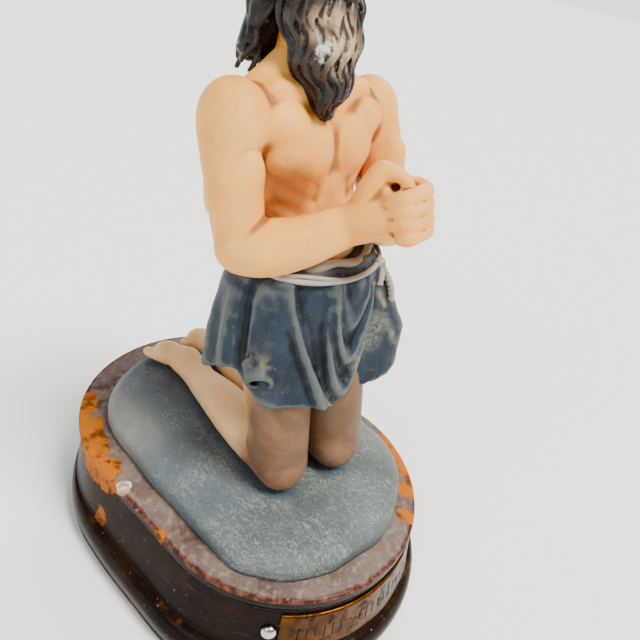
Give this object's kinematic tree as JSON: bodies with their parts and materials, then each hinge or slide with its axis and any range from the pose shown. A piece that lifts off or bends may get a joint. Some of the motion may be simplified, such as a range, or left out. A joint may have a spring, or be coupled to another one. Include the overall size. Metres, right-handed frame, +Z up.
{
  "type": "statuette on a plinth",
  "caption": "Kneeling bearded hermit in a corded loin cloth, hands clasped before the chest, on a rough pad over a long moulded plinth with a bent metal strip at its front end.",
  "frame": {"origin": "centre of the plinth's flat underside, midway along and across its rim", "axes": "+Z up, and the figure and the strip face -Y"},
  "size_m": [0.1056, 0.1388, 0.1974],
  "materials": {
    "painted_resin": "satin",
    "lacquered_wood": "gloss",
    "worn_brass": "worn",
    "pin_metal": "polished"
  },
  "bodies": {
    "root": {"figure": "painted_resin", "plinth": "lacquered_wood", "name_plate": "worn_brass", "plate_pin_left": "pin_metal", "plate_pin_right": "pin_metal"}
  },
  "joints": []
}
